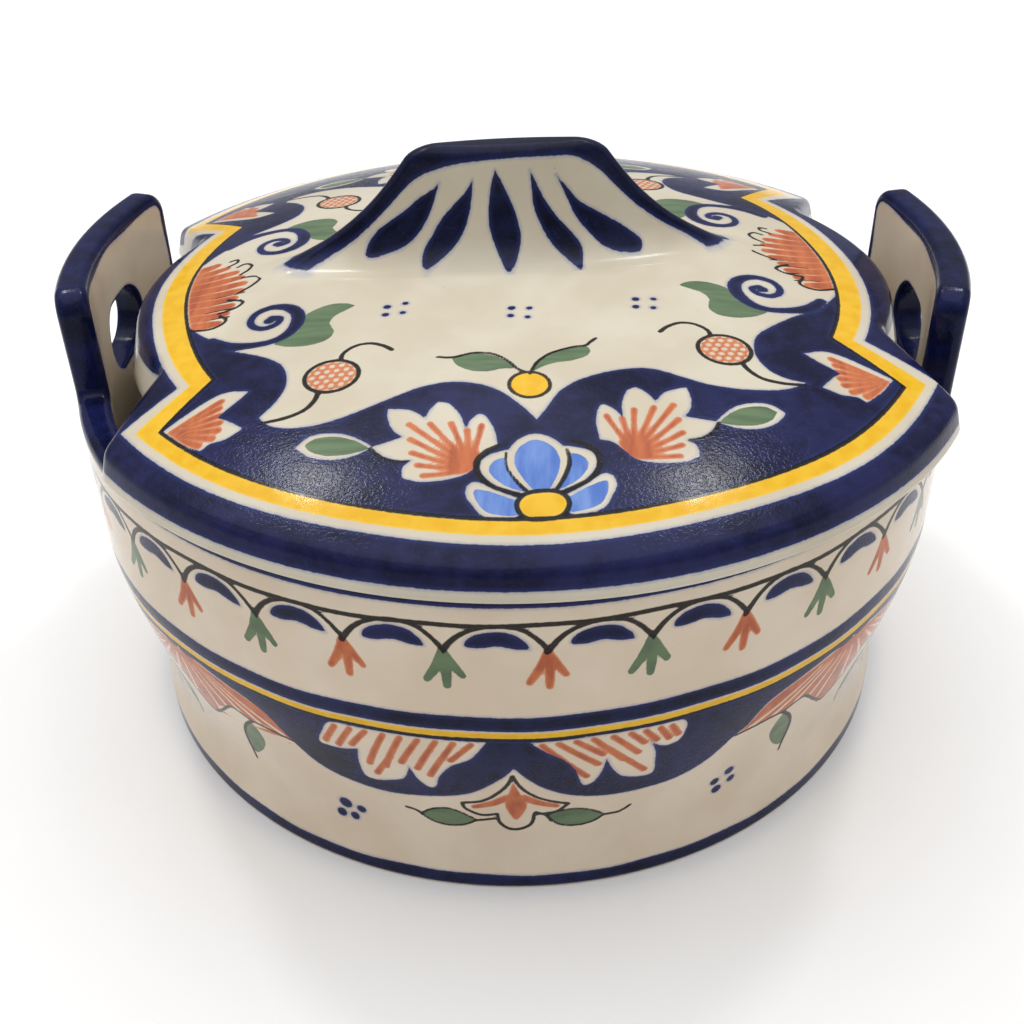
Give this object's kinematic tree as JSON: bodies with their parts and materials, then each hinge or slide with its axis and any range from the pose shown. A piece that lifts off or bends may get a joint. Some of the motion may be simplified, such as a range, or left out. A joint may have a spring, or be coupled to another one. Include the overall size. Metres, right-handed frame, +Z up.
{
  "type": "lidded vegetable dish",
  "caption": "Round lidded dish with two pierced upright handles and a domed lid with a ridge grip, in painted tin-glazed earthenware.",
  "frame": {"origin": "on the table under the centre of the foot ring", "axes": "+Z up, the handles at -X and +X, the lid's wide arcs at -Y and +Y"},
  "size_m": [0.2004, 0.207, 0.1316],
  "materials": {
    "painted_glaze": "gloss cream tin glaze, hand-painted in cobalt, yellow, green, rust and black",
    "cobalt_glaze": "gloss cobalt brushed on cream glaze",
    "cream_glaze": "gloss cream tin glaze",
    "bare_clay": "matt buff clay, wiped free of glaze at the resting edge"
  },
  "bodies": {
    "bowl": {"bowl_body": "painted_glaze", "foot_ring": "bare_clay", "left_handle": "cobalt_glaze", "right_handle": "cobalt_glaze"},
    "lid": {"lid_shell": "painted_glaze", "lid_flange": "cream_glaze", "lid_grip": "cobalt_glaze"}
  },
  "joints": [
    {"name": "lid_lift", "type": "slide", "parent": "bowl", "child": "lid", "axis": [0, 0, 1], "range_m": [0, 0.05]}
  ]
}
